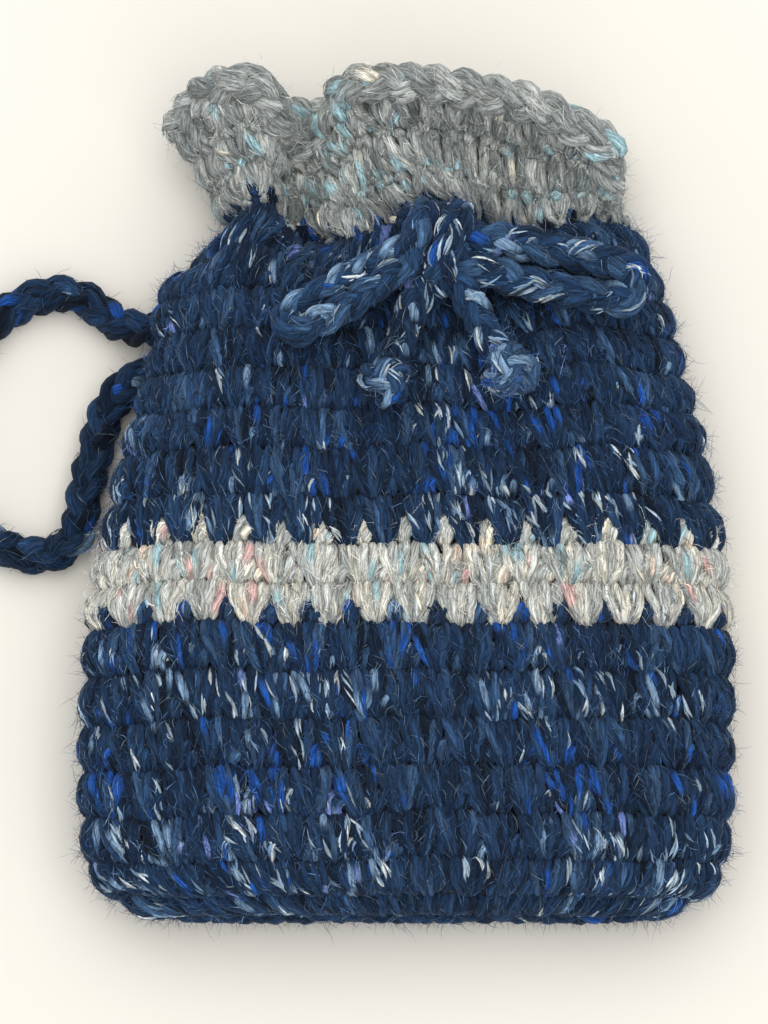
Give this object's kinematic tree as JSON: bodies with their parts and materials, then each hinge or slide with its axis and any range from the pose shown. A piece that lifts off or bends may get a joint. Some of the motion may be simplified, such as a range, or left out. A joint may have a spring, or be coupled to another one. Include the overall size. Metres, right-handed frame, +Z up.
{
  "type": "drawstring dice bag",
  "caption": "Crocheted pouch with a ruffled collar, a contrasting stripe, a drawstring tied in a bow at the neck and a cord loop at one side, for holding dice.",
  "frame": {"origin": "on the surface it lies on, under the middle of the bag's bounding box, leaving out the free side cord", "axes": "+X to the right seen from the front, +Y from the base seam towards the mouth, +Z up out of the front"},
  "size_m": [0.1561, 0.162, 0.0371],
  "materials": {
    "navy_yarn": "heathered navy wool, fuzzy",
    "grey_yarn": "heathered pale grey wool, fuzzy",
    "bow_yarn": "chained cord of heathered navy wool with pale flecks",
    "cord_yarn": "chained cord of dark navy wool"
  },
  "bodies": {
    "bag": {"base_seam": "navy_yarn", "lower_body": "navy_yarn", "stripe_band": "grey_yarn", "upper_body": "navy_yarn", "shoulder_back": "navy_yarn", "eyelet_posts_back": "navy_yarn", "neck_round_back": "grey_yarn", "collar_back": "grey_yarn", "rim_chain_back": "grey_yarn", "drawstring_back_run": "bow_yarn", "side_cord": "cord_yarn"},
    "mouth_front": {"shoulder_front": "navy_yarn", "eyelet_posts_front": "navy_yarn", "neck_round_front": "grey_yarn", "collar_front": "grey_yarn", "rim_chain_front": "grey_yarn", "drawstring_front_right": "bow_yarn", "drawstring_front_left": "bow_yarn"},
    "bow": {"bow_knot": "bow_yarn", "bow_leads": "bow_yarn"},
    "left_loop": {"bow_loop_left": "bow_yarn"},
    "right_loop": {"bow_loop_right": "bow_yarn"},
    "left_tail": {"tail_left": "bow_yarn", "tail_knot_left": "bow_yarn"},
    "right_tail": {"tail_right": "bow_yarn", "tail_knot_right": "bow_yarn"}
  },
  "joints": [
    {"name": "mouth_opening", "type": "hinge", "parent": "bag", "child": "mouth_front", "pos_m": [0, 0.00825, 0.025], "axis": [1, 0, 0], "range_deg": [0, 18]},
    {"name": "bow_pull", "type": "slide", "parent": "mouth_front", "child": "bow", "axis": [0, 0, 1], "range_m": [0, 0.005]},
    {"name": "left_loop_lift", "type": "hinge", "parent": "bow", "child": "left_loop", "pos_m": [-0.00239, 0.04144, 0.0292], "axis": [-0.5075, 0.8616, 0], "range_deg": [0, 30]},
    {"name": "right_loop_lift", "type": "hinge", "parent": "bow", "child": "right_loop", "pos_m": [0.01234, 0.04391, 0.0292], "axis": [-0.1994, -0.9799, 0], "range_deg": [0, 30]},
    {"name": "left_tail_swing", "type": "hinge", "parent": "bow", "child": "left_tail", "pos_m": [0.0045, 0.0455, 0.0292], "axis": [0, 0, 1], "range_deg": [-7, 6]},
    {"name": "right_tail_swing", "type": "hinge", "parent": "bow", "child": "right_tail", "pos_m": [0.0045, 0.0455, 0.0292], "axis": [0, 0, 1], "range_deg": [-5, 8]}
  ]
}
